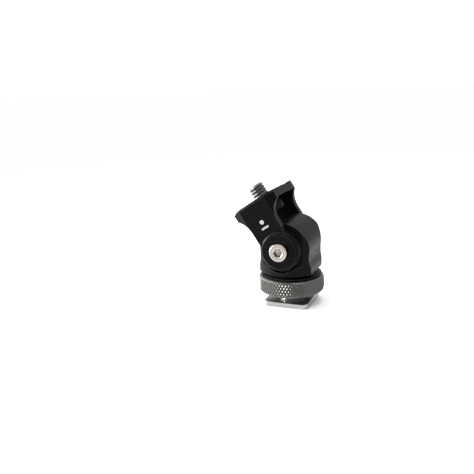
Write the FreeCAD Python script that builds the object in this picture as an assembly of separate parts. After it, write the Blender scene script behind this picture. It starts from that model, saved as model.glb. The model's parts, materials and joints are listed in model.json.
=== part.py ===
import FreeCAD, Part
import os
import math

# Swivel-and-tilt bracket on a shoe foot. Millimetres, +Z up, swivel axis on Z,
# z = 0 on the underside of the foot, hinge axis along Y. The screw side faces -Y.
V = FreeCAD.Vector
OUT = "parts"
os.makedirs(OUT, exist_ok=True)

# every cutting tool runs this far past the face it opens
OVER = 1.0
# broken edges: small ones on turned parts, larger ones on screw ends
EDGE, END_CH = 0.3, 0.5

# shoe foot and stem
FOOT_LEN, FOOT_WID, FOOT_T, FOOT_CORNER = 18.0, 18.5, 2.0, 1.6
STEM_R, STEM_TOP = 4.95, 12.0
TENON_R, TENON_TOP = 2.9, 13.0
PIN_R, PIN_X, PIN_Z0, PIN_Z1 = 0.6, 3.75, 10.6, 13.1
M4_R = 2.0
STEM_BORE_Z0 = 3.5

# knurled ring and the washer it presses down
RING_R, RING_Z0, RING_Z1 = 13.0, 5.2, 11.5
RING_TOP_CH, RING_BOT_CH = 0.9, 0.8
WASHER_R, WASHER_T = 10.5, 0.8
THREAD_BORE = STEM_R + 0.05

# base disc fixed on the stem
DISC_R, DISC_Z0, DISC_WALL, DISC_Z1, DISC_TOP_R = 12.0, 12.0, 0.3, 13.5, 10.2
SPIGOT_R, SPIGOT_TOP = 3.5, 15.8
FRICTION_R = 9.8

# swivel body
BODY_R, BODY_Z0, SHOULDER_Z, SHOULDER_CH = 12.9, 13.8, 17.8, 0.4
FLAT_X, FLAT_TOP = 10.4, 16.4
LUG_X, LUG_Y, LUG_FOOT_Z = 9.75, 10.2, 19.2
HINGE_Z, LUG_R = 24.0, 9.95
POCKET_R = 8.8
BORE_R, BORE_SEAT = 4.65, 16.0
BUSH_R, BUSH_BORE = 3.0, 2.05
CAP_Z0 = 28.6
HINGE_WASHER_R = 5.6

# swivel screw and its spring washers
SPRING_R, SPRING_T = 4.5, 0.5
LOW_HEAD_R, LOW_HEAD_H, SWIVEL_TIP = 3.5, 2.8, 5.0
LOW_HEX, LOW_HEX_DEEP = 2.5, 1.5

# tilting head, measured upright from the hinge axis
REST_TILT = -33.2
GAP = 0.3
CHEEK_IN, CHEEK_OUT = LUG_Y + GAP, 13.3
CHEEK_R, NECK_X, FLARE_R, FLARE_Z = 7.7, 5.8, 7.5, 11.0
BOSS_R, BOSS_Y, BOSS_CH = 7.3, 14.5, 0.6
PLATE_X, PLATE_Z0, PLATE_Z1 = 9.6, 18.0, 20.6
CORNER_X, CORNER_Y, ARCH_R = 5.9, 10.9, 2.0
CORNER_SHIFT = 0.3                 # how far a cut corner moves in for each millimetre of inset
PAD_T, PAD_Y1, PAD_INSET = 0.8, 7.7, 0.7
RIDGE_Y, RIDGE_H = 8.3, 0.7
STUD_R, STUD_HOLE, STUD_TOP = 3.175, 3.25, 26.6
RELIEF_R, RELIEF_TOP, STUD_CH = 2.75, 21.6, 0.7

# hinge screw, set in a counterbore on the front boss
HEAD_R, HEAD_H, HEAD_SEAT = 3.5, 3.2, 12.1
LOCK_R, LOCK_T = 3.4, 0.9
COUNTER_R, HEX_AF, HEAD_HEX, HEAD_HEX_DEEP = 3.85, 7.0, 3.0, 2.2
NUT_Y0, NUT_Y1 = 11.8, 15.0

# thumb screw in the window of the head
THUMB_R, THUMB_Z0, THUMB_Z1 = 5.8, 13.8, 17.5
THUMB_HEX, THUMB_HEX_DEEP, THUMB_WASHER_R = 4.0, 2.4, 5.0
CLIP_R, CLIP_Z0, CLIP_Z1, CLIP_SLOT, GROOVE_R = 4.7, 20.0, 20.5, 1.4, 2.7


def cyl(r, z0, z1, x=0.0, y=0.0):
    return Part.makeCylinder(r, z1 - z0, V(x, y, z0), V(0, 0, 1))


def cyl_y(r, y0, y1, z=0.0):
    return Part.makeCylinder(r, y1 - y0, V(0, y0, z), V(0, 1, 0))


def box(x0, x1, y0, y1, z0, z1):
    return Part.makeBox(x1 - x0, y1 - y0, z1 - z0, V(x0, y0, z0))


def revolve(points):
    """Solid of revolution about Z from (radius, height) corners."""
    wire = Part.makePolygon([V(r, 0, z) for r, z in points] + [V(points[0][0], 0, points[0][1])])
    return Part.Face(wire).revolve(V(0, 0, 0), V(0, 0, 1), 360)


def tube(r_out, r_in, z0, z1, ch=0.0):
    pts = [(r_in, z0), (r_out - ch, z0), (r_out, z0 + ch), (r_out, z1 - ch), (r_out - ch, z1), (r_in, z1)]
    if ch == 0:
        pts = [(r_in, z0), (r_out, z0), (r_out, z1), (r_in, z1)]
    return revolve(pts)


def tube_y(r_out, r_in, y0, y1, z=0.0):
    return cyl_y(r_out, y0, y1, z).cut(cyl_y(r_in, y0 - OVER, y1 + OVER, z))


def prism_y(points, y0, y1):
    """Polygon in the XZ plane carried along Y."""
    wire = Part.makePolygon([V(x, y0, z) for x, z in points] + [V(points[0][0], y0, points[0][1])])
    return Part.Face(wire).extrude(V(0, y1 - y0, 0))


def prism_z(points, z0, z1):
    wire = Part.makePolygon([V(x, y, z0) for x, y in points] + [V(points[0][0], points[0][1], z0)])
    return Part.Face(wire).extrude(V(0, 0, z1 - z0))


def hexagon(across):
    r = across / math.sqrt(3.0)
    return [(r * math.cos(math.radians(60 * k)), r * math.sin(math.radians(60 * k))) for k in range(6)]


def flat_rims(shape, at_y, least_r=0.0):
    """Circular edges that lie in the plane y = at_y, at least this big."""
    return [e for e in shape.Edges if abs(e.BoundBox.YMin - at_y) < 1e-6
            and e.BoundBox.YLength < 1e-6 and e.BoundBox.XLength > least_r]


def plate_outline(half_x, y0, y1, c):
    return [(-half_x + c, y0), (half_x - c, y0), (half_x, y0 + c), (half_x, y1 - c),
            (half_x - c, y1), (-half_x + c, y1), (-half_x, y1 - c), (-half_x, y0 + c)]


def head_pose(shape):
    """Carry a head part from its upright frame to the resting tilt on the hinge."""
    s = shape.copy()
    s.rotate(V(0, 0, 0), V(0, 1, 0), REST_TILT)
    s.translate(V(0, 0, HINGE_Z))
    return s


def shoe_foot():
    plate = prism_z(plate_outline(FOOT_LEN / 2, -FOOT_WID / 2, FOOT_WID / 2, FOOT_CORNER), 0, FOOT_T)
    plate = plate.makeChamfer(EDGE, [e for e in plate.Edges if abs(e.BoundBox.ZLength) < 1e-6])
    stem = revolve([(0, FOOT_T / 2), (STEM_R, FOOT_T / 2), (STEM_R, STEM_TOP - END_CH),
                    (STEM_R - END_CH, STEM_TOP), (0, STEM_TOP)])
    tenon = cyl(TENON_R, STEM_TOP - END_CH, TENON_TOP)
    body = plate.fuse(stem).fuse(tenon)
    body = body.cut(cyl(M4_R, STEM_BORE_Z0, TENON_TOP + OVER))
    for x in (-PIN_X, PIN_X):
        body = body.cut(cyl(PIN_R, PIN_Z0, PIN_Z1 + OVER, x))
    return body.removeSplitter()


def base_disc():
    body = revolve([(0, DISC_Z0), (DISC_R - 0.2, DISC_Z0), (DISC_R, DISC_Z0 + 0.2),
                    (DISC_R, DISC_Z0 + DISC_WALL), (DISC_TOP_R, DISC_Z1), (SPIGOT_R, DISC_Z1),
                    (SPIGOT_R, SPIGOT_TOP - EDGE), (SPIGOT_R - EDGE, SPIGOT_TOP), (0, SPIGOT_TOP)])
    body = body.cut(cyl(TENON_R, DISC_Z0 - OVER, TENON_TOP))
    body = body.cut(cyl(M4_R + 0.2, DISC_Z0, SPIGOT_TOP + OVER))
    for x in (-PIN_X, PIN_X):
        body = body.cut(cyl(PIN_R, DISC_Z0 - OVER, PIN_Z1, x))
    return body


def base_pin(x):
    return cyl(PIN_R, PIN_Z0, PIN_Z1, x)


def clamp_washer():
    return tube(WASHER_R, THREAD_BORE, RING_Z0 - WASHER_T, RING_Z0, 0.15)


def knurled_ring():
    return revolve([(THREAD_BORE, RING_Z0 + EDGE), (THREAD_BORE + EDGE, RING_Z0), (RING_R - RING_BOT_CH, RING_Z0),
                    (RING_R, RING_Z0 + RING_BOT_CH), (RING_R, RING_Z1 - RING_TOP_CH),
                    (RING_R - RING_TOP_CH, RING_Z1), (THREAD_BORE + EDGE, RING_Z1),
                    (THREAD_BORE, RING_Z1 - EDGE)])


def swivel_friction_washer():
    return tube(FRICTION_R, SPIGOT_R + 0.1, DISC_Z1, BODY_Z0)


def swivel_body():
    flange = revolve([(0, BODY_Z0), (BODY_R - EDGE, BODY_Z0), (BODY_R, BODY_Z0 + EDGE),
                      (BODY_R, SHOULDER_Z - SHOULDER_CH), (BODY_R - SHOULDER_CH, SHOULDER_Z), (0, SHOULDER_Z)])
    side = prism_y([(-FLAT_X, BODY_Z0), (FLAT_X, BODY_Z0), (FLAT_X, FLAT_TOP), (LUG_X, LUG_FOOT_Z),
                    (-LUG_X, LUG_FOOT_Z), (-FLAT_X, FLAT_TOP)], -BODY_R - OVER, BODY_R + OVER)
    flange = flange.common(side)
    foot = prism_y([(-FLAT_X, BODY_Z0 + 1), (FLAT_X, BODY_Z0 + 1), (FLAT_X, FLAT_TOP), (LUG_X, LUG_FOOT_Z),
                    (LUG_X, HINGE_Z), (-LUG_X, HINGE_Z), (-LUG_X, LUG_FOOT_Z), (-FLAT_X, FLAT_TOP)],
                   -LUG_Y, LUG_Y)
    lug = foot.fuse(cyl_y(LUG_R, -LUG_Y, LUG_Y, HINGE_Z))
    lug = lug.common(cyl(BODY_R, BODY_Z0, HINGE_Z + LUG_R + OVER))
    body = flange.fuse(lug).removeSplitter()
    for y0, y1 in ((-BODY_R - OVER, -LUG_Y), (LUG_Y, BODY_R + OVER)):
        body = body.cut(cyl_y(POCKET_R, y0, y1, HINGE_Z))
    body = body.cut(cyl(SPIGOT_R + 0.05, BODY_Z0 - OVER, BORE_SEAT + OVER))
    body = body.cut(cyl(BORE_R, BORE_SEAT, HINGE_Z + LUG_R + OVER))
    body = body.cut(cyl_y(BUSH_R, -LUG_Y - OVER, LUG_Y + OVER, HINGE_Z))
    return body.removeSplitter()


def bore_cap():
    cap = cyl(BORE_R, CAP_Z0, HINGE_Z + LUG_R + OVER)
    return cap.common(cyl_y(LUG_R, -LUG_Y, LUG_Y, HINGE_Z))


def hinge_bush():
    return tube_y(BUSH_R, BUSH_BORE, -LUG_Y, LUG_Y, HINGE_Z)


def hinge_washer(side):
    y0, y1 = (-CHEEK_IN, -LUG_Y) if side < 0 else (LUG_Y, CHEEK_IN)
    return tube_y(HINGE_WASHER_R, BUSH_BORE + 0.1, y0, y1, HINGE_Z)


def swivel_spring_washer(level):
    z0 = BORE_SEAT + level * SPRING_T
    return tube(SPRING_R, M4_R + 0.15, z0, z0 + SPRING_T)


def swivel_screw():
    z0 = BORE_SEAT + 2 * SPRING_T
    top = z0 + LOW_HEAD_H
    body = revolve([(0, SWIVEL_TIP), (M4_R - END_CH, SWIVEL_TIP), (M4_R, SWIVEL_TIP + END_CH), (M4_R, z0),
                    (LOW_HEAD_R, z0), (LOW_HEAD_R, top - EDGE), (LOW_HEAD_R - EDGE, top), (0, top)])
    return body.cut(prism_z(hexagon(LOW_HEX), top - LOW_HEX_DEEP, top + OVER))


def head_outline(inset=0.0):
    """Plan outline of the head's plate, its corners cut back from the cheeks."""
    px, out = PLATE_X - inset, CHEEK_OUT - inset
    cx, cy = CORNER_X - CORNER_SHIFT * inset, CORNER_Y - CORNER_SHIFT * inset
    return [(-cx, -out), (cx, -out), (px, -cy), (px, cy), (cx, out), (-cx, out), (-px, cy), (-px, -cy)]


def head_window():
    """The space between the cheeks, with an arched ceiling, right through from side to side."""
    w, wide = CHEEK_IN, PLATE_X + OVER
    spring = PLATE_Z0 - ARCH_R
    cut = box(-wide, wide, -w, w, -CHEEK_R - OVER, spring)
    cut = cut.fuse(box(-wide, wide, -w + ARCH_R, w - ARCH_R, spring - 0.5, PLATE_Z0))
    for y in (-w + ARCH_R, w - ARCH_R):
        cut = cut.fuse(Part.makeCylinder(ARCH_R, 2 * wide, V(-wide, y, spring), V(1, 0, 0)))
    return cut.removeSplitter()


def yoke():
    disc = cyl_y(CHEEK_R, -CHEEK_OUT, CHEEK_OUT)
    neck = box(-NECK_X, NECK_X, -CHEEK_OUT, CHEEK_OUT, 0, PLATE_Z0)
    # plate with concave flares below it
    wing = prism_z(head_outline(), FLARE_Z, PLATE_Z1)
    for x in (-NECK_X - FLARE_R, NECK_X + FLARE_R):
        wing = wing.cut(Part.makeCylinder(FLARE_R, 2 * (CHEEK_OUT + OVER), V(x, -CHEEK_OUT - OVER, FLARE_Z),
                                          V(0, 1, 0)))
    body = disc.fuse(neck.common(prism_z(head_outline(), 0, PLATE_Z0))).fuse(wing).removeSplitter()
    # ridge along the back edge of the plate
    ridge = prism_z(head_outline(), PLATE_Z1 - 0.6, PLATE_Z1 + RIDGE_H)
    body = body.fuse(ridge.common(box(-PLATE_X, PLATE_X, RIDGE_Y, CHEEK_OUT, PLATE_Z1 - OVER, PLATE_Z1 + OVER)))
    for y0, y1, face in ((-BOSS_Y, -CHEEK_OUT + 0.5, -BOSS_Y), (CHEEK_OUT - 0.5, BOSS_Y, BOSS_Y)):
        boss = cyl_y(BOSS_R, y0, y1)
        body = body.fuse(boss.makeChamfer(BOSS_CH, flat_rims(boss, face, BOSS_R)))
    body = body.cut(head_window())
    # stud hole and the recess that hides the retaining clip
    body = body.cut(cyl(STUD_HOLE, PLATE_Z0 - OVER, PLATE_Z1 + OVER))
    body = body.cut(cyl(CLIP_R + 0.3, CLIP_Z0 - 0.1, PLATE_Z1 + OVER))
    # hinge screw hole, head counterbore, nut pocket
    body = body.cut(cyl_y(M4_R + 0.1, -BOSS_Y - OVER, BOSS_Y + OVER))
    body = body.cut(cyl_y(COUNTER_R, -BOSS_Y - OVER, -HEAD_SEAT))
    body = body.cut(prism_y(hexagon(HEX_AF + 0.1), NUT_Y0, BOSS_Y + OVER))
    return head_pose(body.removeSplitter())


def top_pad():
    pad = prism_z(head_outline(PAD_INSET), PLATE_Z1, PLATE_Z1 + PAD_T)
    pad = pad.common(box(-PLATE_X, PLATE_X, -CHEEK_OUT, PAD_Y1, PLATE_Z1, PLATE_Z1 + PAD_T))
    return head_pose(pad.cut(cyl(STUD_HOLE + 0.3, PLATE_Z1 - OVER, PLATE_Z1 + PAD_T + OVER)))


def hinge_lock_washer():
    return head_pose(tube_y(LOCK_R, M4_R + 0.1, -HEAD_SEAT - LOCK_T, -HEAD_SEAT))


def hinge_screw():
    under = -HEAD_SEAT - LOCK_T
    face, tip = under - HEAD_H, NUT_Y1 + 0.2
    head = cyl_y(HEAD_R, face, under)
    head = head.makeChamfer(0.35, flat_rims(head, face))
    head = head.cut(prism_y(hexagon(HEAD_HEX), face - OVER, face + HEAD_HEX_DEEP))
    shank = cyl_y(M4_R, under - 0.5, tip)
    return head_pose(head.fuse(shank.makeChamfer(0.4, flat_rims(shank, tip))).removeSplitter())


def hinge_nut():
    nut = prism_y(hexagon(HEX_AF), NUT_Y0, NUT_Y1)
    # a cone takes the corners off the outer face
    nut = nut.common(Part.makeCone(HEX_AF * 0.80, HEX_AF * 0.50, NUT_Y1 - NUT_Y0 + 0.9,
                                   V(0, NUT_Y0 - 0.2, 0), V(0, 1, 0)))
    return head_pose(nut.cut(cyl_y(M4_R, NUT_Y0 - OVER, NUT_Y1 + OVER)))


def thumb_screw():
    body = revolve([(0, THUMB_Z0), (THUMB_R - END_CH, THUMB_Z0), (THUMB_R, THUMB_Z0 + END_CH),
                    (THUMB_R, THUMB_Z1 - END_CH), (THUMB_R - END_CH, THUMB_Z1), (STUD_R, THUMB_Z1),
                    (STUD_R, CLIP_Z0), (GROOVE_R, CLIP_Z0), (GROOVE_R, CLIP_Z1), (RELIEF_R, CLIP_Z1),
                    (RELIEF_R, RELIEF_TOP - 0.3), (STUD_R, RELIEF_TOP), (STUD_R, STUD_TOP - STUD_CH),
                    (STUD_R - STUD_CH, STUD_TOP), (0, STUD_TOP)])
    body = body.cut(prism_z(hexagon(THUMB_HEX), THUMB_Z0 - OVER, THUMB_Z0 + THUMB_HEX_DEEP))
    return head_pose(body)


def thumb_washer():
    return head_pose(tube(THUMB_WASHER_R, STUD_HOLE, THUMB_Z1, PLATE_Z0))


def thumb_clip():
    clip = tube(CLIP_R, GROOVE_R, CLIP_Z0, CLIP_Z1)
    return head_pose(clip.cut(box(0, CLIP_R + OVER, -CLIP_SLOT, CLIP_SLOT, CLIP_Z0 - OVER, CLIP_Z1 + OVER)))


NODES = {
    "shoe_foot": shoe_foot(),
    "base_disc": base_disc(),
    "base_pin_left": base_pin(-PIN_X),
    "base_pin_right": base_pin(PIN_X),
    "clamp_washer": clamp_washer(),
    "knurled_ring": knurled_ring(),
    "swivel_friction_washer": swivel_friction_washer(),
    "swivel_body": swivel_body(),
    "bore_cap": bore_cap(),
    "hinge_bush": hinge_bush(),
    "hinge_washer_front": hinge_washer(-1),
    "hinge_washer_back": hinge_washer(1),
    "swivel_spring_washer_lower": swivel_spring_washer(0),
    "swivel_spring_washer_upper": swivel_spring_washer(1),
    "swivel_screw": swivel_screw(),
    "yoke": yoke(),
    "top_pad": top_pad(),
    "hinge_lock_washer": hinge_lock_washer(),
    "hinge_screw": hinge_screw(),
    "hinge_nut": hinge_nut(),
    "thumb_screw": thumb_screw(),
    "thumb_washer": thumb_washer(),
    "thumb_clip": thumb_clip(),
}

for name, shape in NODES.items():
    if shape.ShapeType == "Compound" and len(shape.Solids) == 1:
        shape = shape.Solids[0]
    if not shape.isValid() or len(shape.Solids) != 1:
        print("check", name, shape.isValid(), len(shape.Solids))
    shape.exportStep(os.path.join(OUT, name + ".step"))
    b = shape.BoundBox
    print("%-28s %8.2f mm3  x %.2f %.2f  y %.2f %.2f  z %.2f %.2f"
          % (name, shape.Volume, b.XMin, b.XMax, b.YMin, b.YMax, b.ZMin, b.ZMax))
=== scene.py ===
import bpy
import bmesh
import json
import math
from mathutils import Matrix, Vector


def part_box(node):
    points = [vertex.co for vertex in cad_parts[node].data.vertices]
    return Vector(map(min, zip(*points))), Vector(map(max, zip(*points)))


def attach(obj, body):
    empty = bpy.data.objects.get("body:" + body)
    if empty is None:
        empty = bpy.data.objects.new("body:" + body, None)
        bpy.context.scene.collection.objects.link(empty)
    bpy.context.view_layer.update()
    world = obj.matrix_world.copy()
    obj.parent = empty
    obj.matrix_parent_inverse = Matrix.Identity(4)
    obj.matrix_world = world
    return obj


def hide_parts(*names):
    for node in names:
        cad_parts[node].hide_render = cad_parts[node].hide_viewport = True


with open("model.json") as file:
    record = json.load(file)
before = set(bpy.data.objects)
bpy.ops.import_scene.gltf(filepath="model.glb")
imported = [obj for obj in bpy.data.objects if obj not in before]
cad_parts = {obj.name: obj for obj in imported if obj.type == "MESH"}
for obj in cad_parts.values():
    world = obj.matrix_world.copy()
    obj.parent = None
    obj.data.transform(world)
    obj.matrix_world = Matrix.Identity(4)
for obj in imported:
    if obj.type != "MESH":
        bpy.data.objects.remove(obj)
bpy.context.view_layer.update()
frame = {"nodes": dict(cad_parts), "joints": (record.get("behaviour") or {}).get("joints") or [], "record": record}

MM = 0.001
TAU = 2 * math.pi
nodes = frame["nodes"]
joints = {j["name"]: j for j in frame["joints"]}
mounts = {m["name"]: m for m in frame["record"]["mounts"]}
col = bpy.context.scene.collection

# the head's own frame: the hinge at its origin, the stud along its Z
stud_axis = Vector(mounts["quarter_inch_stud"]["axis"]).normalized()
TILT = math.atan2(stud_axis.x, stud_axis.z)
hinge = Vector(joints["head_tilt"]["pos_m"])
HEAD = Matrix.Translation(hinge) @ Matrix.Rotation(TILT, 4, "Y")
UPRIGHT = Matrix.Identity(4)
# these turn a form drawn along +Z to point out of the front cheek (-Y) or the back one (+Y)
TO_FRONT = Matrix.Rotation(math.radians(90), 4, "X")
TO_BACK = Matrix.Rotation(math.radians(-90), 4, "X")


# ---------------------------------------------------------------- camera
def make_camera():
    """The camera in front of the object, a little to its right and above it. The object is small
    in the picture and right of its middle, so the target lies in the empty space beside it."""
    az, el, roll = math.radians(23.5), math.radians(14.05), math.radians(-1.94)
    dist, lens_mm, sensor_mm = 245.3 * MM, 45.5696, 36.0
    target = Vector((-23.13, 0.0, 24.74)) * MM
    back = Vector((math.sin(az) * math.cos(el), -math.cos(az) * math.cos(el), math.sin(el)))
    right = Vector((math.cos(az), math.sin(az), 0.0))
    up = back.cross(right)
    rolled_right = right * math.cos(roll) + up * math.sin(roll)
    rolled_up = up * math.cos(roll) - right * math.sin(roll)
    rot = Matrix((rolled_right, rolled_up, back)).transposed()
    data = bpy.data.cameras.new("camera")
    data.sensor_width = sensor_mm
    data.lens = lens_mm
    data.clip_start, data.clip_end = 0.005, 20.0
    cam = bpy.data.objects.new("camera", data)
    cam.matrix_world = Matrix.Translation(target + back * dist) @ rot.to_4x4()
    col.objects.link(cam)
    bpy.context.scene.camera = cam


make_camera()


# ---------------------------------------------------------------- materials
class Mat:
    """A short way to wire up a node material."""

    def __init__(self, name, color, metallic, rough, spec=0.5):
        self.m = bpy.data.materials.new(name)
        self.m.use_nodes = True
        self.t = self.m.node_tree
        self.p = self.t.nodes["Principled BSDF"]
        self.p.inputs["Base Color"].default_value = (*color, 1)
        self.p.inputs["Metallic"].default_value = metallic
        self.p.inputs["Roughness"].default_value = rough
        self.p.inputs["Specular IOR Level"].default_value = spec
        self.xyz = self.t.nodes.new("ShaderNodeTexCoord").outputs["Object"]
        self.normal = None

    def node(self, kind, **props):
        n = self.t.nodes.new(kind)
        for k, v in props.items():
            setattr(n, k, v)
        return n

    def link(self, a, b):
        self.t.links.new(a, b)

    def noise(self, per_mm, detail=3.0):
        n = self.node("ShaderNodeTexNoise")
        n.inputs["Scale"].default_value = per_mm / MM
        n.inputs["Detail"].default_value = detail
        n.inputs["Roughness"].default_value = 0.55
        self.link(self.xyz, n.inputs["Vector"])
        return n.outputs["Fac"]

    def open_sky(self, reach_mm, samples):
        """1 on open faces, less where something stands nearer than this."""
        ao = self.node("ShaderNodeAmbientOcclusion", samples=samples)
        ao.inputs["Distance"].default_value = reach_mm * MM
        return ao.outputs["AO"]

    def ramp(self, fac, stops):
        """Grey levels or colours at positions along a factor."""
        r = self.node("ShaderNodeValToRGB")
        e = r.color_ramp.elements
        while len(e) < len(stops):
            e.new(0.5)
        for i, (pos, c) in enumerate(stops):
            e[i].position = pos
            e[i].color = (*c, 1) if isinstance(c, tuple) else (c, c, c, 1)
        self.link(fac, r.inputs["Fac"])
        return r.outputs["Color"]

    def feed(self, sock, v):
        """Give a socket a number, a colour or a link."""
        if isinstance(v, (int, float)):
            sock.default_value = v
        elif isinstance(v, tuple):
            sock.default_value = (*v, 1)
        else:
            self.link(v, sock)

    def mix(self, fac, a, b, how="MIX"):
        n = self.node("ShaderNodeMix", data_type="RGBA", blend_type=how)
        for sock, v in ((n.inputs["Factor"], fac), (n.inputs["A"], a), (n.inputs["B"], b)):
            self.feed(sock, v)
        return n.outputs["Result"]

    def math(self, op, a, b=0.0):
        n = self.node("ShaderNodeMath", operation=op)
        self.feed(n.inputs[0], a)
        self.feed(n.inputs[1], b)
        return n.outputs[0]

    def bump(self, height, depth_mm, strength):
        b = self.node("ShaderNodeBump")
        b.inputs["Strength"].default_value = strength
        b.inputs["Distance"].default_value = depth_mm * MM
        self.link(height, b.inputs["Height"])
        if self.normal:
            self.link(self.normal, b.inputs["Normal"])
        self.normal = b.outputs["Normal"]
        self.link(self.normal, self.p.inputs["Normal"])

    def edge_mask(self, radius_mm, lo=0.02, hi=0.22):
        """White along sharp edges, from a rounded normal against the true one."""
        b = self.node("ShaderNodeBevel", samples=6)
        b.inputs["Radius"].default_value = radius_mm * MM
        g = self.node("ShaderNodeNewGeometry")
        d = self.node("ShaderNodeVectorMath", operation="DOT_PRODUCT")
        self.link(b.outputs["Normal"], d.inputs[0])
        self.link(g.outputs["Normal"], d.inputs[1])
        away = self.math("SUBTRACT", 1.0, d.outputs["Value"])
        m = self.node("ShaderNodeMapRange")
        m.inputs["From Min"].default_value = lo
        m.inputs["From Max"].default_value = hi
        self.link(away, m.inputs["Value"])
        return m.outputs["Result"]

    def color(self, c):
        self.link(c, self.p.inputs["Base Color"])

    def rough(self, r):
        self.link(r, self.p.inputs["Roughness"])


def black_anodised(name, base, rough):
    """Nearly black aluminium with faint blotches, a fine grain, its edges rubbed here and there, and painted shade
    in its recesses.
    """
    sheen, painted_shade_sheen, painted_shade_mm = 0.042, 0.004, 9.0
    rubbed, rub_mm, rub_patches, rub_strength = (0.12, 0.118, 0.115), 0.26, 0.42, 0.5
    m = Mat(name, (base, base, base * 1.06), 0.0, rough, spec=sheen)
    dark, pale = (base * 0.78, base * 0.78, base * 0.84), (base * 1.25, base * 1.24, base * 1.28)
    tone = m.mix(m.noise(0.12, 4.0), dark, pale)
    patches = m.math("GREATER_THAN", m.noise(0.9), rub_patches)
    worn = m.math("MULTIPLY", m.edge_mask(rub_mm), patches)
    m.color(m.mix(m.math("MULTIPLY", worn, rub_strength), tone, rubbed))
    m.rough(m.ramp(m.noise(0.5, 5.0), [(0.25, rough - 0.05), (0.75, rough + 0.07)]))
    m.bump(m.noise(9.0, 2.0), 0.012, 0.55)
    # painted shade: the sheen is turned down where other surfaces stand near, darkening recesses and the spaces
    # under and between parts
    m.link(m.ramp(m.open_sky(painted_shade_mm, 8), [(0.38, painted_shade_sheen), (0.80, sheen)]),
           m.p.inputs["Specular IOR Level"])
    return m.m


def silver(name, tint, rough, dark_in_grooves=False):
    """Plain bright metal; its grooves can be darkened with painted shade."""
    m = Mat(name, tint, 1.0, rough)
    shade = m.mix(m.noise(0.35, 4.0), tuple(c * 0.86 for c in tint), tint)
    if dark_in_grooves:
        # painted shade: the grooves are darkened where the metal's own surfaces stand near
        groove_mm, groove_shade = 0.45, [(0.40, 0.01), (0.84, 1.0)]
        shade = m.mix(1.0, shade, m.ramp(m.open_sky(groove_mm, 6), groove_shade), "MULTIPLY")
    m.color(shade)
    m.rough(m.ramp(m.noise(5.0), [(0.3, rough - 0.05), (0.7, rough + 0.09)]))
    m.bump(m.noise(14.0, 2.0), 0.004, 0.4)
    return m.m


def turned_steel(name, tint, rough, axis, centre, hollow_shade=None):
    """Bright steel with fine turning rings about an axis through a point, given in metres,
    and with painted shade of that colour in its hollows."""
    ring_waves_per_m, hollow_mm = 42000.0, 1.6
    m = Mat(name, tint, 1.0, rough)
    sub = m.node("ShaderNodeVectorMath", operation="SUBTRACT")
    sub.inputs[1].default_value = centre
    m.link(m.xyz, sub.inputs[0])
    flat = m.node("ShaderNodeVectorMath", operation="MULTIPLY")
    flat.inputs[1].default_value = tuple(0.0 if a else 1.0 for a in axis)
    m.link(sub.outputs["Vector"], flat.inputs[0])
    length = m.node("ShaderNodeVectorMath", operation="LENGTH")
    m.link(flat.outputs["Vector"], length.inputs[0])
    rings = m.math("SINE", m.math("MULTIPLY", length.outputs["Value"], ring_waves_per_m))
    shade = m.mix(m.noise(0.6, 4.0), tuple(c * 0.88 for c in tint), tint)
    if hollow_shade:
        # painted shade: the given brownish colour is laid in where other surfaces stand near
        shade = m.mix(m.ramp(m.open_sky(hollow_mm, 6), [(0.35, 0.0), (0.72, 1.0)]), hollow_shade, shade)
    m.color(shade)
    m.rough(m.ramp(m.noise(2.0, 4.0), [(0.3, rough - 0.05), (0.7, rough + 0.08)]))
    m.bump(rings, 0.0022, 0.5)
    m.bump(m.noise(9.0, 2.0), 0.004, 0.35)
    return m.m


def soft_black(name, base, rough, grain_per_mm, grain_mm, spec=0.35):
    """Black rubber or plastic with a grain of that depth."""
    m = Mat(name, (base, base, base), 0.0, rough, spec=spec)
    m.color(m.mix(m.noise(0.3, 4.0), (base * 0.75,) * 3, (base * 1.3,) * 3))
    m.rough(m.ramp(m.noise(0.8), [(0.3, rough - 0.06), (0.7, min(rough + 0.08, 1.0))]))
    m.bump(m.noise(grain_per_mm), grain_mm, 0.6)
    return m.m


def paint_white(name):
    """A thin, slightly uneven white print."""
    m = Mat(name, (0.60, 0.60, 0.585), 0.0, 0.45)
    m.color(m.mix(m.noise(1.6, 4.0), (0.22, 0.22, 0.215), (0.34, 0.34, 0.33)))
    m.bump(m.noise(8.0, 2.0), 0.006, 0.5)
    return m.m


BODY = black_anodised("anodised_body", 0.0034, 0.36)
# a little darker than the body's copy: painted shade for the head's front faces
YOKE = black_anodised("anodised_head", 0.0024, 0.32)
DISC = black_anodised("anodised_disc", 0.003, 0.32)
# a tint far darker than bright silver: a painted reflection of dark surroundings
RING = silver("ring_silver", (0.110, 0.108, 0.105), 0.41, dark_in_grooves=True)
# the screw's socket and other hollows get brownish painted shade
BRIGHT = turned_steel("screw_bright", (0.37, 0.346, 0.326), 0.26, (0, 1, 0), tuple(hinge),
                      hollow_shade=(0.17, 0.11, 0.08))
NUT = turned_steel("nut_bright", (0.42, 0.415, 0.40), 0.30, (0, 1, 0), tuple(hinge))
STEM = turned_steel("stem_bright", (0.42, 0.415, 0.41), 0.30, (0, 0, 1), (0, 0, 0))
STUD = silver("stud_bright", (0.17, 0.168, 0.164), 0.34)
SPRING = silver("spring_steel", (0.13, 0.13, 0.14), 0.36)
BRASS = silver("bush_brass", (0.72, 0.53, 0.25), 0.30)
RUBBER = soft_black("pad_rubber", 0.009, 0.72, 3.0, 0.03, spec=0.16)
NYLON = soft_black("black_nylon", 0.020, 0.55, 4.0, 0.015)
CAP = soft_black("black_cap", 0.0042, 0.40, 4.0, 0.012, spec=0.05)
SHEET = soft_black("friction_sheet", 0.055, 0.48, 5.0, 0.008)
WHITE = paint_white("mark_white")
PLATE = silver("foot_plate_steel", (0.34, 0.335, 0.33), 0.30)
THUMB = black_anodised("anodised_thumb", 0.012, 0.34)


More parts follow.
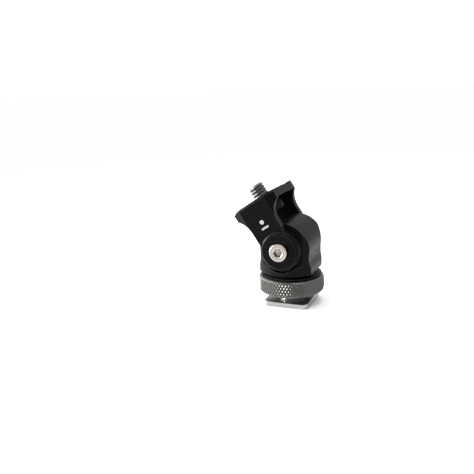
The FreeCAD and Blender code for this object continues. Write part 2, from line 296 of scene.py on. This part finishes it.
# ---------------------------------------------------------------- mesh helpers
def add(name, mesh, body, mat, smooth=30.0):
    """A new visible piece that rides on a body, shaded smooth up to that angle in degrees."""
    o = bpy.data.objects.new(name, mesh)
    col.objects.link(o)
    mesh.materials.append(mat)
    mesh.shade_smooth()
    mesh.set_sharp_from_angle(angle=math.radians(smooth))
    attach(o, body)
    return o


def from_bm(bm, name, place=UPRIGHT):
    """A mesh in metres from a form in millimetres, carried to its place."""
    bmesh.ops.recalc_face_normals(bm, faces=bm.faces)
    bm.transform(Matrix.Scale(MM, 4))
    bm.transform(place)
    mesh = bpy.data.meshes.new(name)
    bm.to_mesh(mesh)
    bm.free()
    return mesh


def rings_mesh(name, rings, n, place=UPRIGHT, shut=True):
    """Surface through a stack of rings, each (radius or radius function of the angle, height).
    The first and last rings are closed to their centres, or, with shut=False, joined to each
    other so that the form is a closed tube."""
    bm = bmesh.new()
    rows = []
    for r, z in rings:
        row = []
        for i in range(n):
            a = TAU * i / n
            rad = r(a) if callable(r) else r
            row.append(bm.verts.new((rad * math.cos(a), rad * math.sin(a), z)))
        rows.append(row)
    pairs = list(zip(rows, rows[1:]))
    if not shut:
        pairs.append((rows[-1], rows[0]))
    for low, high in pairs:
        for i in range(n):
            j = (i + 1) % n
            bm.faces.new((low[i], low[j], high[j], high[i]))
    if shut:
        for row, (_, z) in ((rows[0], rings[0]), (rows[-1], rings[-1])):
            c = bm.verts.new((0, 0, z))
            for i in range(n):
                bm.faces.new((row[i], row[(i + 1) % n], c))
    return from_bm(bm, name, place)


def hex_r(across):
    """Radius of a hexagon with its flats `across` apart, as a function of the angle."""
    return lambda a: across / 2 / math.cos((a + TAU / 12) % (TAU / 6) - TAU / 12)


def at_most(f, limit):
    return lambda a: min(f(a), limit)


def less(f, drop):
    return lambda a: f(a) - drop


def thread_rings(major, minor, pitch, z0, z1, tip=0.0, start=0.0, per_turn=8):
    """Rings for a screw thread: a V ridge that climbs one pitch a turn, with a small flat on its
    crest and in its root. `tip` and `start` are 45 degree chamfers at its top and bottom ends."""
    root_flat, flank = 0.10, 0.78
    steps = max(2, int(round((z1 - z0) / pitch * per_turn)))
    rings = []
    for k in range(steps + 1):
        z = z0 + (z1 - z0) * k / steps

        def rad(a, z=z):
            ph = (z / pitch - a / TAU) % 1.0
            tri = 1.0 - abs(2 * ph - 1.0)
            v = min(1.0, max(0.0, (tri - root_flat) / flank))
            r = minor + (major - minor) * v
            if tip:
                r = min(r, major - tip + (z1 - z))
            if start:
                r = min(r, major - start + (z - z0))
            return r
        rings.append((rad, z))
    return rings


def bevel_sharp(bm, width, segments):
    sharp = math.radians(25.0)
    edges = [e for e in bm.edges if len(e.link_faces) == 2 and e.calc_face_angle(0) > sharp]
    bmesh.ops.bevel(bm, geom=edges, offset=width, segments=segments, profile=0.5,
                    affect="EDGES", clamp_overlap=True)


def plan_corners(hx, y0, y1, c):
    """A rectangle's outline with its corners cut off."""
    return [(-hx + c, y0), (hx - c, y0), (hx, y0 + c), (hx, y1 - c),
            (hx - c, y1), (-hx + c, y1), (-hx, y1 - c), (-hx, y0 + c)]


def slab(points, z0, z1):
    """A flat block over an outline."""
    bm = bmesh.new()
    low = [bm.verts.new((x, y, z0)) for x, y in points]
    face = bm.faces.new(low)
    up = bmesh.ops.extrude_face_region(bm, geom=[face])
    for v in up["geom"]:
        if isinstance(v, bmesh.types.BMVert):
            v.co.z = z1
    bmesh.ops.recalc_face_normals(bm, faces=bm.faces)
    return bm


def mm_box(node):
    lo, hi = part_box(node)
    return lo / MM, hi / MM


# ---------------------------------------------------------------- carried-over CAD nodes
def dress(node, mat, edge_mm=0.0):
    """A CAD node with its own material; its coplanar facets merged and its edges rounded."""
    flat_deg, sharp_deg = 1.0, 28
    o = nodes[node]
    o.data.materials.clear()
    o.data.materials.append(mat)
    if edge_mm:
        d = o.modifiers.new("flat", "DECIMATE")
        d.decimate_type = "DISSOLVE"
        d.angle_limit = math.radians(flat_deg)
        b = o.modifiers.new("edge", "BEVEL")
        b.width = edge_mm * MM
        b.segments = 3
        b.limit_method = "ANGLE"
        b.angle_limit = math.radians(sharp_deg)
        b.harden_normals = False
        b.miter_outer = "MITER_ARC"


dress("yoke", YOKE, 0.28)
dress("swivel_body", BODY, 0.25)
dress("base_disc", DISC, 0.10)
dress("clamp_washer", NYLON)
dress("bore_cap", CAP, 0.12)
dress("base_pin_left", STEM)
dress("base_pin_right", STEM)
dress("swivel_friction_washer", SHEET)
dress("hinge_washer_front", SHEET)
dress("hinge_washer_back", SHEET)
dress("thumb_washer", SHEET)
dress("hinge_bush", BRASS)
dress("swivel_spring_washer_lower", SPRING)
dress("swivel_spring_washer_upper", SPRING)
dress("hinge_lock_washer", SPRING)
dress("thumb_clip", SPRING)
dress("swivel_screw", STUD)


# ---------------------------------------------------------------- knurled ring
def knurled_ring():
    lo, hi = mm_box("knurled_ring")
    r_out, z0, z1 = (hi.x - lo.x) / 2, lo.z, hi.z
    # the knurl: diamonds round the ring, height of a row of them, depth, mesh points for each
    count, row, depth, per = 66, 2.2, 0.45, 10
    groove_share = 0.90
    top_ch, bot_ch, bore, bore_ch = 0.9, 0.8, 5.0, 0.3
    # a shallow dish turned in the underside
    dish_in, dish_out, dish_deep, slope = 8.4, 11.5, 0.25, 0.3
    n = count * per

    def wall(z):
        def r(a):
            u = a / TAU * count
            w = z / row
            g1 = abs(((u + w) % 1.0) - 0.5) * 2
            g2 = abs(((u - w) % 1.0) - 0.5) * 2
            land = min(1.0, (1.0 - max(g1, g2)) / groove_share)
            # the top chamfer is slightly rounded, the bottom one straight
            up = max(0.0, 1.0 - (z1 - z) / top_ch)
            cone = min(r_out - top_ch * (0.75 * up + 0.25 * up ** 2), r_out - bot_ch + (z - z0))
            return min(r_out - depth * (1.0 - land), cone)
        return r

    heights = []
    z = z0 + 0.05
    while z < z1 - 0.02:
        heights.append(z)
        z += row / per
    rings = [(bore + bore_ch, z0), (dish_in, z0), (dish_in + slope, z0 + dish_deep),
             (dish_out - slope, z0 + dish_deep), (dish_out, z0), (r_out - bot_ch - 0.04, z0)]
    rings += [(wall(z), z) for z in heights]
    rings += [(r_out - top_ch - 0.02, z1 - 0.01), (r_out - top_ch - 0.14, z1), (bore + bore_ch, z1),
              (bore, z1 - bore_ch), (bore, z0 + bore_ch)]
    o = add("ring_knurl", rings_mesh("ring_knurl", rings, n, shut=False), "ring", RING, 24.0)
    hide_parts("knurled_ring")


knurled_ring()


# ---------------------------------------------------------------- shoe foot and threaded stem
def shoe_foot():
    lo, hi = mm_box("shoe_foot")
    stem_r, foot_t, stem_top, corner = 4.95, 2.0, 12.0, 1.6
    pitch, deep, tenon_r, n = 1.0, 0.55, 2.9, 72
    bm = slab(plan_corners(hi.x, lo.y, hi.y, corner), lo.z, foot_t)
    bevel_sharp(bm, 0.28, 3)
    plate = add("foot_plate", from_bm(bm, "foot_plate"), "shoe", PLATE)
    # a relief groove between the plate and the thread
    rings = [(stem_r - 0.15, foot_t - 0.3), (stem_r - deep, foot_t + 0.05), (stem_r - deep, foot_t + 0.25)]
    rings += thread_rings(stem_r, stem_r - deep, pitch, foot_t + 0.3, stem_top, tip=0.6)[1:]
    rings += [(tenon_r, stem_top), (tenon_r, hi.z)]
    stem = add("foot_stem", rings_mesh("foot_stem", rings, n), "shoe", STEM, 28.0)
    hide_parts("shoe_foot")
    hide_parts("shoe_foot")


shoe_foot()


# ---------------------------------------------------------------- hinge screw and nut
def hinge_screw():
    lo, hi = mm_box("hinge_screw")
    head_r, head_h, shank, socket = 3.5, 3.2, 2.0, 3.0
    knurl_deep, knurl_waves = 0.10, 27
    face = -lo.y                      # along the screw's own axis, out of the front cheek
    under = face - head_h
    # the shank stops inside the nut, where hinge_screw_tip takes over
    inner = -hi.y + 2.5
    n = 240

    def knurl(a):
        return head_r - knurl_deep * abs(math.sin(a * knurl_waves))

    hexa = hex_r(socket)
    rings = [(shank - 0.4, inner), (shank, inner + 0.4), (shank, under),
             # the head's side, knurled between two plain rims, and its rounded edge
             (head_r - 0.15, under), (head_r, under + 0.15), (knurl, under + 0.3), (knurl, face - 0.62),
             (head_r - 0.02, face - 0.50), (head_r - 0.06, face - 0.32), (head_r - 0.18, face - 0.13),
             (head_r - 0.36, face - 0.02), (head_r - 0.50, face),
             # a turned groove in the face
             (2.68, face), (2.60, face - 0.15), (2.34, face - 0.15), (2.26, face),
             # the socket: a countersunk lip, the hexagon and its drilled bottom
             (2.06, face), (1.98, face - 0.03), (at_most(hexa, 1.80), face - 0.22), (hexa, face - 0.40),
             (hexa, face - 2.0), (0.9, face - 2.35), (0.2, face - 2.6)]
    o = add("hinge_screw_socket", rings_mesh("hinge_screw_socket", rings, n, HEAD @ TO_FRONT),
            "head", BRIGHT, 26.0)
    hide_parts("hinge_screw")


def hinge_nut():
    lo, hi = mm_box("hinge_nut")
    across, bore, bore_open, n = 7.0, 2.0, 2.35, 144
    h = hi.y - lo.y
    hexa = hex_r(across)
    corner = across / math.sqrt(3)
    # the outer face's round chamfer runs out into the corners in small steps
    face_r, steps, drop = across / 2 - 0.05, 8, 0.30
    rings = [(bore, h - 0.5), (bore_open, h), (face_r, h)]
    for k in range(1, steps + 1):
        t = k / steps
        rings.append((at_most(hexa, face_r + (corner - across / 2 + 0.06) * t), h - drop * t))
    rings += [(hexa, 0.3), (at_most(hexa, corner - 0.2), 0.0), (bore_open, 0.0), (bore, 0.5)]
    # turned so that a corner, not a flat, lies along the head's X, as the nut pocket has it
    turn = Matrix.Rotation(math.radians(30), 4, "Z")
    place = HEAD @ Matrix.Translation((0, lo.y * MM, 0)) @ TO_BACK @ turn
    o = add("hinge_nut_hex", rings_mesh("hinge_nut_hex", rings, n, place, shut=False),
            "head", NUT, 26.0)
    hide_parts("hinge_nut")


def hinge_screw_tip():
    """The screw's threaded end, seen in the nut."""
    end = mm_box("hinge_screw")[1].y
    major, minor, pitch, n = 1.98, 1.66, 0.7, 48
    rings = [(1.2, end - 3.0)] + thread_rings(major, minor, pitch, end - 2.6, end, tip=0.35)
    add("hinge_screw_tip", rings_mesh("hinge_screw_tip", rings, n, HEAD @ TO_BACK),
        "head", NUT, 28.0)


hinge_screw()
hinge_nut()
hinge_screw_tip()


# ---------------------------------------------------------------- captive thumb screw
def thumb_screw():
    z0, z1, head_r, r = 13.8, 17.5, 5.8, 3.175
    clip0, clip1, groove, relief, relief_top, top = 20.0, 20.5, 2.7, 2.75, 21.6, 26.6
    minor, pitch, n_stud = 2.62, 1.27, 72
    # the straight knurl: notches round the head, their depth and the width of the land between
    notches, notch_deep, land, n_head = 36, 0.38, 0.45, 360
    socket = 4.0

    def knurl(a):
        t = abs(((a / TAU * notches) % 1.0) - 0.5) * 2
        return head_r - notch_deep * max(0.0, (t - land) / (1.0 - land)) ** 0.8

    hexa = hex_r(socket)
    # heights in from either face of the head, and how far its rounded edge stands back there
    edge = [(0.05, 0.75), (0.2, 0.45), (0.5, 0.12), (0.8, 0.0)]
    rings = [(0.2, z0 + 2.6), (1.0, z0 + 2.4), (hexa, z0 + 2.3), (hexa, z0 + 0.25),
             (at_most(hexa, 2.2), z0 + 0.12), (2.35, z0 + 0.03), (2.5, z0), (head_r - 1.0, z0)]
    rings += [(less(knurl, back), z0 + up) for up, back in edge]
    rings += [(less(knurl, back), z1 - down) for down, back in reversed(edge)]
    rings += [(head_r - 1.0, z1), (r, z1), (r, z1 + 0.1), (r, clip0 - 0.2)]
    head = add("thumb_head", rings_mesh("thumb_head", rings, n_head, HEAD),
               "thumb", THUMB, 26.0)
    rings = [(r - 0.3, clip0 - 0.6), (r, clip0 - 0.4), (r, clip0), (groove, clip0), (groove, clip1),
             (relief, clip1), (relief, relief_top - 0.3)]
    rings += thread_rings(r, minor, pitch, relief_top - 0.28, top, tip=0.75, start=0.45, per_turn=10)
    stud = add("thumb_stud", rings_mesh("thumb_stud", rings, n_stud, HEAD),
               "thumb", STUD, 28.0)
    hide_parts("thumb_screw")
    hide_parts("thumb_screw")


thumb_screw()


# ---------------------------------------------------------------- ribbed rubber pad
def top_pad():
    # the sheet under the ribs: its half length, front and back edges, heights, cut front corners
    x1, y0, y1, z0, z1 = 8.9, -12.6, 7.7, 20.6, 21.4
    cx, cy = 5.69, -10.69
    hole, sheet_top = 3.55, z1 - 0.28
    pitch, wide, rim, end_gap, rooted = 1.42, 1.02, 0.55, 0.4, 0.40
    bm = slab([(-cx, y0), (cx, y0), (x1, cy), (x1, y1), (-x1, y1), (-x1, cy)], z0, sheet_top)
    k = int((x1 - end_gap) // pitch)
    h = wide / 2
    for i in range(-k, k + 1):
        x = i * pitch
        # the ribs stop at the cut front corners
        front = [y0 + max(0.0, (abs(v) - cx) / (x1 - cx) * (cy - y0)) + rim for v in (x - h, x + h)]
        outline = [(x - h, front[0]), (x + h, front[1]), (x + h, y1 - rim), (x - h, y1 - rim)]
        rib = slab(outline, z1 - rooted, z1)
        bevel_sharp(rib, 0.14, 2)
        rib_mesh = bpy.data.meshes.new("rib")
        rib.to_mesh(rib_mesh)
        rib.free()
        bm.from_mesh(rib_mesh)
        bpy.data.meshes.remove(rib_mesh)
    o = add("pad_ribs", from_bm(bm, "pad_ribs", HEAD), "head", RUBBER, 35.0)
    # the hole for the stud
    cut_mesh = rings_mesh("pad_cut", [(hole, z0 - 1), (hole, z1 + 1)], 64, HEAD)
    cutter = bpy.data.objects.new("pad_cut", cut_mesh)
    col.objects.link(cutter)
    b = o.modifiers.new("hole", "BOOLEAN")
    b.operation, b.object, b.solver = "DIFFERENCE", cutter, "EXACT"
    b.use_self = True
    dg = bpy.context.evaluated_depsgraph_get()
    done = bpy.data.meshes.new_from_object(o.evaluated_get(dg))
    o.modifiers.clear()
    o.data = done
    bpy.data.objects.remove(cutter)
    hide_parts("top_pad")


top_pad()


# ---------------------------------------------------------------- white index mark on the front cheek
def index_mark():
    face, thick = 13.3, 0.035
    dot_z, dot_r = 12.8, 0.85
    bar_z, bar_half, bar_r = 10.4, 1.25, 0.36

    def place(z):
        return HEAD @ Matrix.Translation(Vector((0, -face, z)) * MM) @ TO_FRONT

    def bar(a):
        # a round-ended bar: a circle stretched along X, as a radius about its middle
        c, t = math.cos(a), math.sin(a)
        flat = bar_r / max(abs(t), 1e-6)
        if abs(flat * c) <= bar_half:
            return flat
        k = bar_half * abs(c)
        return k + math.sqrt(k * k - bar_half ** 2 + bar_r ** 2)

    for name, outline, z in (("index_dot", lambda a: dot_r, dot_z), ("index_bar", bar, bar_z)):
        rings = [(outline, 0.0), (outline, thick * 0.5), (less(outline, thick * 0.6), thick)]
        add(name, rings_mesh(name, rings, 96, place(z)), "head", WHITE, 30.0)


index_mark()


# ---------------------------------------------------------------- floor and light
def make_stage():
    """A flat pale floor, wide enough that its far edge meets the pale surroundings."""
    radius, below = 12.0, 0.00002
    bm = bmesh.new()
    bmesh.ops.create_circle(bm, cap_ends=True, segments=96, radius=radius)
    mesh = bpy.data.meshes.new("floor")
    bm.to_mesh(mesh)
    bm.free()
    o = bpy.data.objects.new("floor", mesh)
    o.location.z = -below
    col.objects.link(o)
    mesh.materials.append(Mat("floor_pale", (0.95, 0.95, 0.945), 0.0, 0.8, spec=0.2).m)


def area(name, at, look, size, power, spread, tint):
    """A rectangular light; a narrow spread (degrees) keeps it on the object and off the floor."""
    data = bpy.data.lights.new(name, "AREA")
    data.shape = "RECTANGLE"
    data.size, data.size_y = size
    data.energy = power
    data.spread = math.radians(spread)
    data.color = tint
    o = bpy.data.objects.new(name, data)
    at, look = Vector(at), Vector(look)
    turn = (look - at).to_track_quat("-Z", "Y").to_matrix().to_4x4()
    o.matrix_world = Matrix.Translation(at) @ turn
    col.objects.link(o)


def surroundings(color, strength):
    world = bpy.data.worlds.new("studio")
    world.use_nodes = True
    background = world.node_tree.nodes["Background"]
    background.inputs["Color"].default_value = (*color, 1)
    background.inputs["Strength"].default_value = strength
    bpy.context.scene.world = world


make_stage()
# low from the left, for the glints on the knurl, and high up for the edges that face the sky
area("key", (-0.76, -0.16, 0.17), (0, 0, 0.03), (0.36, 0.20), 1.7, 34, (1.0, 0.985, 0.96))
area("overhead", (0.24, -0.18, 1.15), (0, 0, 0), (0.5, 0.5), 0.24, 30, (1.0, 0.995, 0.985))
surroundings((0.985, 0.992, 1.0), 1.05)
bpy.context.scene.view_settings.view_transform = "Standard"
